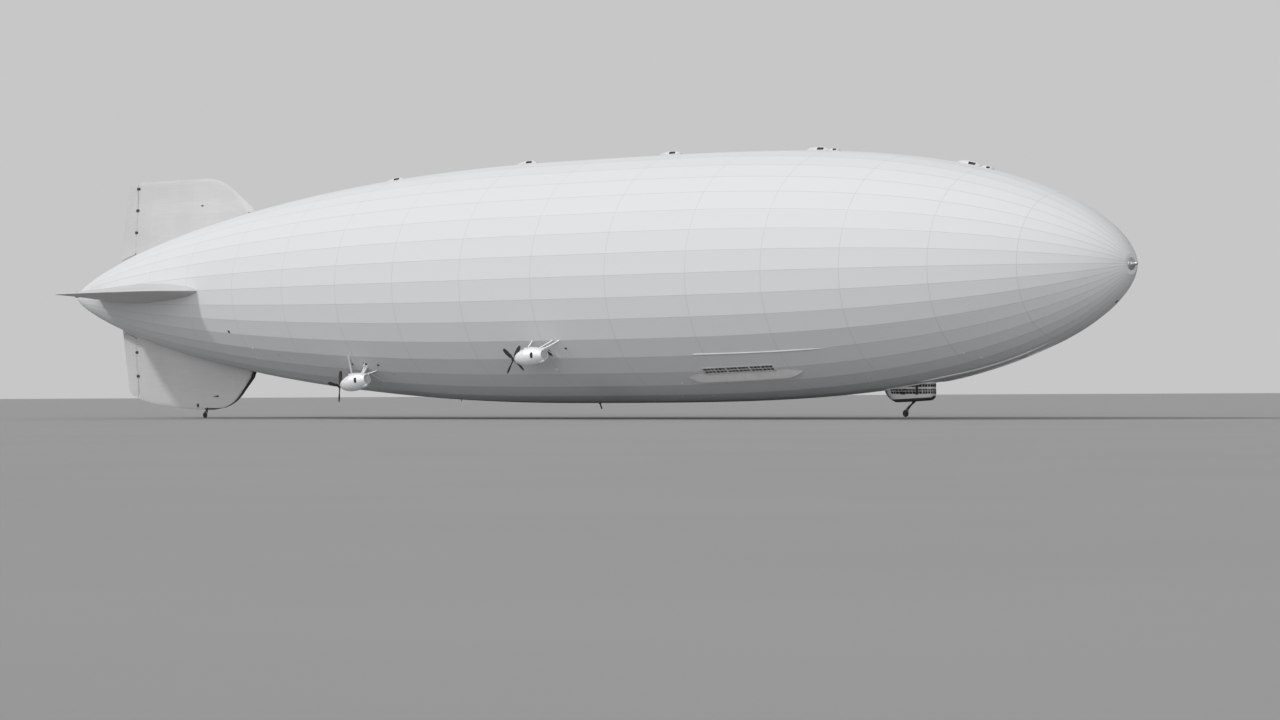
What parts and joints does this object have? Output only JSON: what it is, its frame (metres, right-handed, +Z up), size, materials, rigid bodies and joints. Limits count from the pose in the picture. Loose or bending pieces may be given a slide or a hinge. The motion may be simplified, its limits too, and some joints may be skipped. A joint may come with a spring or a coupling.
{
  "type": "rigid airship, 1:10 scale model",
  "caption": "Rigid airship with a faceted fabric hull, tail fins with rudders and elevators, pusher engine cars on struts, a control car and landing wheels, as a 1:10 scale model.",
  "frame": {"origin": "on the hull's axis at the centre of buoyancy, 134 m of the full-size ship ahead of its tail tip", "axes": "+X towards the nose, +Y to port, +Z up"},
  "size_m": [24.56, 4.6744, 4.465],
  "materials": {
    "hull_fabric": "aluminium-doped cotton, matt, taut over the frame",
    "silver_paint": "pale silver paint over sheet metal",
    "window_glass": "clear panes, dark from outside",
    "steel": "machined and greased",
    "engine_iron": "cast, oily",
    "dark_metal": "dark paint",
    "propeller_wood": "laminated wood, dark varnish",
    "dark_rubber": "rubbered cloth fender",
    "tyre_rubber": "black rubber"
  },
  "bodies": {
    "airship": {"tail_cone": "hull_fabric", "hull_section_1": "hull_fabric", "hull_section_2": "hull_fabric", "hull_section_3": "hull_fabric", "hull_section_4": "hull_fabric", "hull_section_5": "hull_fabric", "hull_section_6": "hull_fabric", "hull_section_7": "hull_fabric", "hull_section_8": "hull_fabric", "hull_section_9": "hull_fabric", "nose_cap": "hull_fabric", "mooring_spindle": "steel", "promenade_windows_starboard": "window_glass", "promenade_windows_port": "window_glass", "fin_upper": "hull_fabric", "fin_lower": "hull_fabric", "fin_starboard": "hull_fabric", "fin_port": "hull_fabric", "nacelle_forward_starboard": "silver_paint", "engine_forward_starboard": "engine_iron", "radiator_forward_starboard": "dark_metal", "struts_forward_starboard": "silver_paint", "nacelle_forward_port": "silver_paint", "engine_forward_port": "engine_iron", "radiator_forward_port": "dark_metal", "struts_forward_port": "silver_paint", "nacelle_aft_starboard": "silver_paint", "engine_aft_starboard": "engine_iron", "radiator_aft_starboard": "dark_metal", "struts_aft_starboard": "silver_paint", "nacelle_aft_port": "silver_paint", "engine_aft_port": "engine_iron", "radiator_aft_port": "dark_metal", "struts_aft_port": "silver_paint", "control_car": "silver_paint", "control_car_glazing": "window_glass", "control_car_bumper": "dark_rubber", "control_car_wheel_leg": "dark_metal", "tail_wheel_leg": "dark_metal", "air_hood_1": "silver_paint", "air_hood_2": "silver_paint", "air_hood_3": "silver_paint", "air_hood_4": "silver_paint", "air_hood_5": "silver_paint"},
    "rudder_upper": {"rudder_upper": "hull_fabric"},
    "rudder_lower": {"rudder_lower": "hull_fabric"},
    "elevator_starboard": {"elevator_starboard": "hull_fabric"},
    "elevator_port": {"elevator_port": "hull_fabric"},
    "propeller_forward_starboard": {"propeller_forward_starboard": "propeller_wood"},
    "propeller_forward_port": {"propeller_forward_port": "propeller_wood"},
    "propeller_aft_starboard": {"propeller_aft_starboard": "propeller_wood"},
    "propeller_aft_port": {"propeller_aft_port": "propeller_wood"},
    "control_car_wheel": {"control_car_wheel": "tyre_rubber"},
    "tail_wheel": {"tail_wheel": "tyre_rubber"}
  },
  "joints": [
    {"name": "rudder_upper_hinge", "type": "hinge", "parent": "airship", "child": "rudder_upper", "pos_m": [-11.66, 0, 1.4], "axis": [0, 0, 1], "range_deg": [-15, 15]},
    {"name": "rudder_lower_hinge", "type": "hinge", "parent": "airship", "child": "rudder_lower", "pos_m": [-11.66, 0, -1.4], "axis": [0, 0, 1], "range_deg": [-15, 15]},
    {"name": "elevator_starboard_hinge", "type": "hinge", "parent": "airship", "child": "elevator_starboard", "pos_m": [-11.66, -1.4, 0], "axis": [0, 1, 0], "range_deg": [-15, 15]},
    {"name": "elevator_port_hinge", "type": "hinge", "parent": "airship", "child": "elevator_port", "pos_m": [-11.66, 1.4, 0], "axis": [0, 1, 0], "range_deg": [-15, 15]},
    {"name": "propeller_forward_starboard_spin", "type": "hinge", "parent": "airship", "child": "propeller_forward_starboard", "pos_m": [0.275, -2.1, -1.33], "axis": [0.9945, 0, 0.1045], "continuous": true},
    {"name": "propeller_forward_port_spin", "type": "hinge", "parent": "airship", "child": "propeller_forward_port", "pos_m": [0.275, 2.1, -1.33], "axis": [0.9945, 0, 0.1045], "continuous": true},
    {"name": "propeller_aft_starboard_spin", "type": "hinge", "parent": "airship", "child": "propeller_aft_starboard", "pos_m": [-4.57, -1.445, -1.745], "axis": [0.9848, 0, 0.1736], "continuous": true},
    {"name": "propeller_aft_port_spin", "type": "hinge", "parent": "airship", "child": "propeller_aft_port", "pos_m": [-4.57, 1.445, -1.745], "axis": [0.9848, 0, 0.1736], "continuous": true},
    {"name": "control_car_wheel_roll", "type": "hinge", "parent": "airship", "child": "control_car_wheel", "pos_m": [6.78, 0, -2.23], "axis": [0, 1, 0], "continuous": true},
    {"name": "tail_wheel_roll", "type": "hinge", "parent": "airship", "child": "tail_wheel", "pos_m": [-9.76, 0, -2.26], "axis": [0, 1, 0], "continuous": true}
  ]
}
